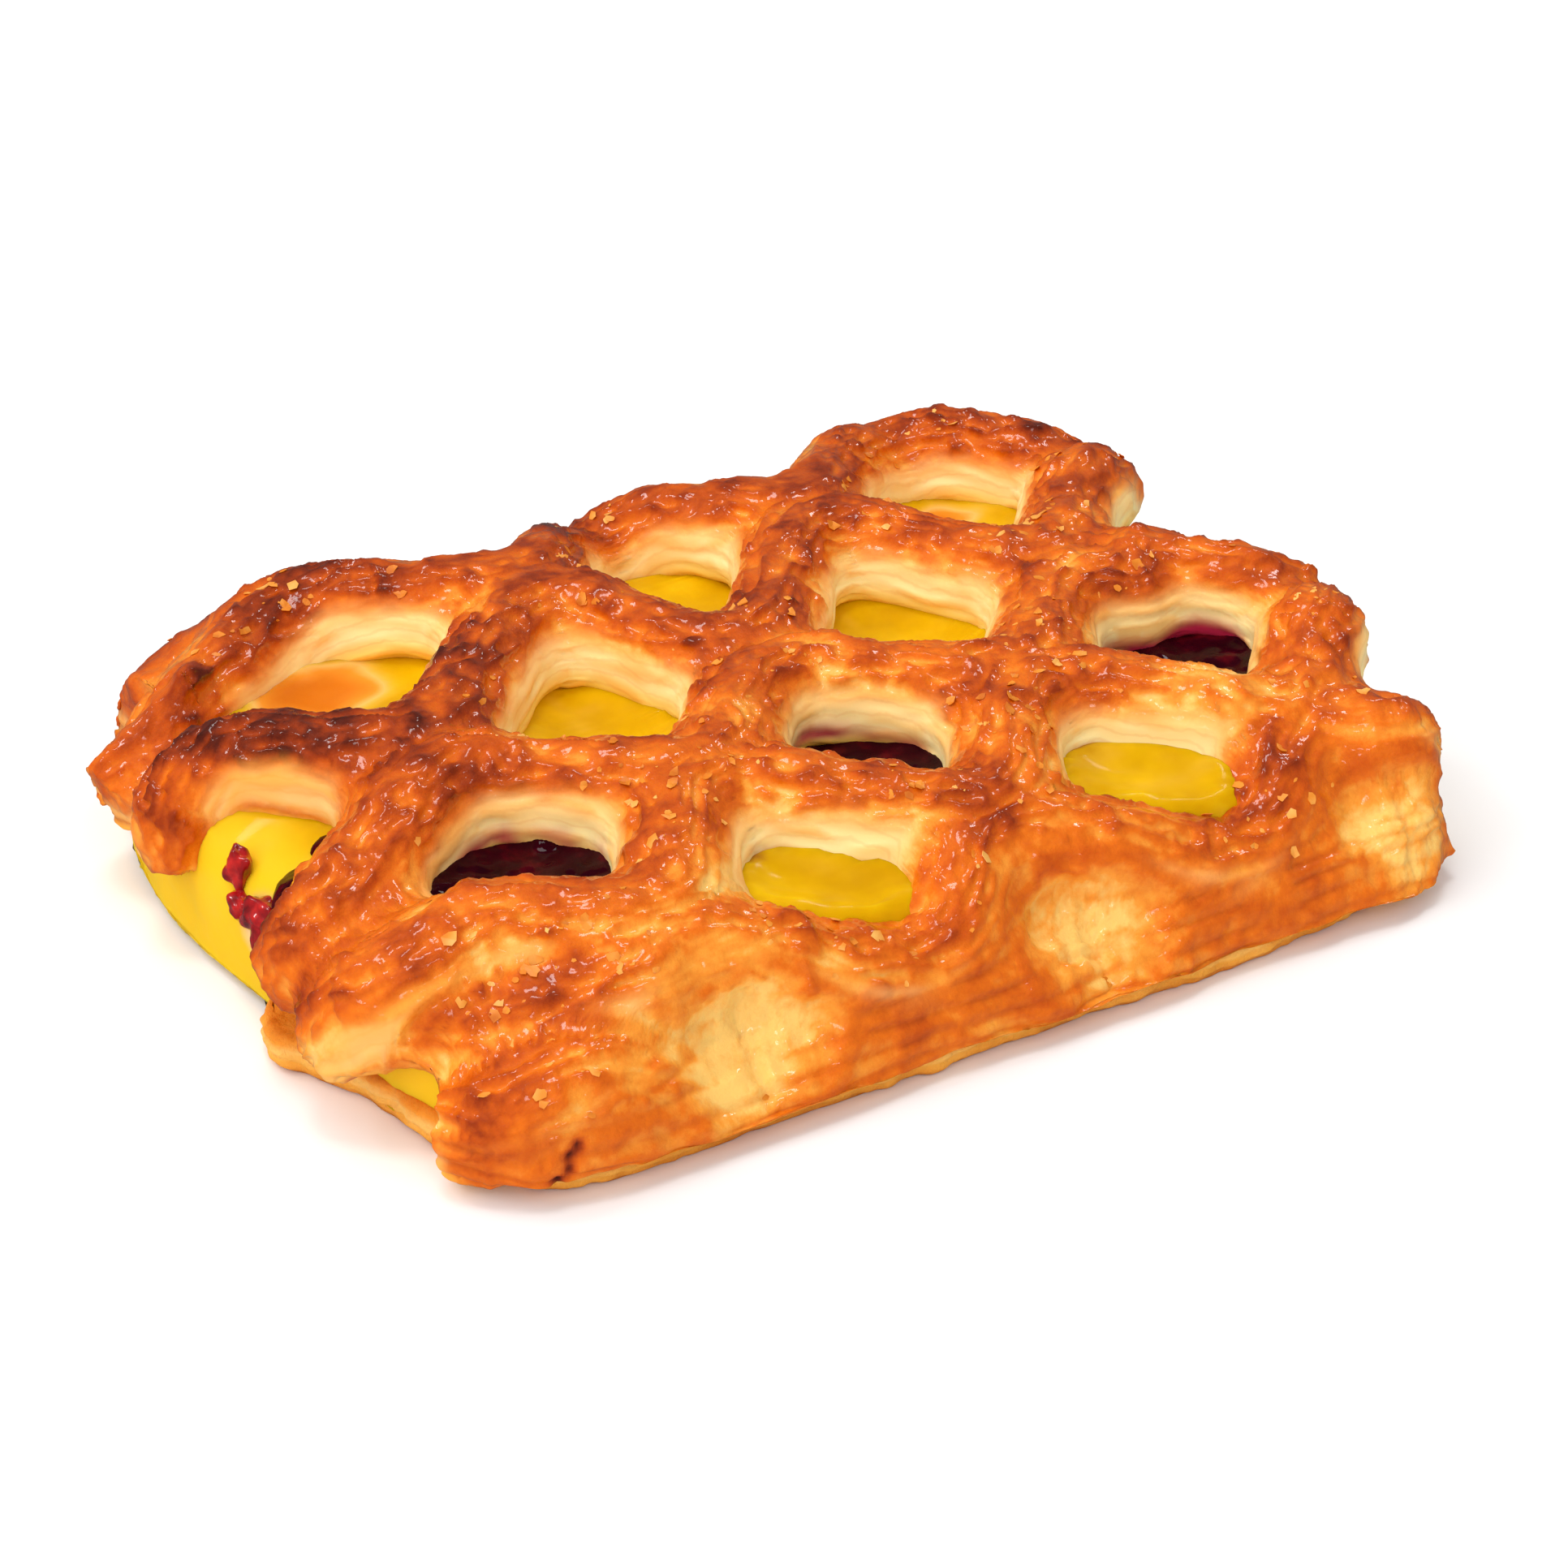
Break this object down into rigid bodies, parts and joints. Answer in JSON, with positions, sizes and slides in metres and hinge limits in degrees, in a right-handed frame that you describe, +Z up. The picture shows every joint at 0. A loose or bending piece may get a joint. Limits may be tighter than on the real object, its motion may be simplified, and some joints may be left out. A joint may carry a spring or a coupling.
{
  "type": "lattice pastry",
  "caption": "Baked lattice pastry: flat dough base, custard mound with a raspberry band, and a slit dough sheet draped over as a lattice with cut ends at both sides",
  "frame": {"origin": "on the surface the pastry stands on, under the middle of its outline", "axes": "+X along the long side from the open filling end to the other end, +Y from the sealed front edge to the back edge, +Z up"},
  "size_m": [0.1363, 0.1057, 0.0274],
  "materials": {
    "base_crust": "baked dough, satin",
    "custard_filling": "baked custard, smooth and moist",
    "raspberry_filling": "cooked raspberry filling, wet gloss",
    "lattice_crust": "egg-washed baked crust, soft gloss"
  },
  "bodies": {
    "root": {"base": "base_crust", "custard": "custard_filling", "raspberry": "raspberry_filling", "lattice": "lattice_crust"}
  },
  "joints": []
}
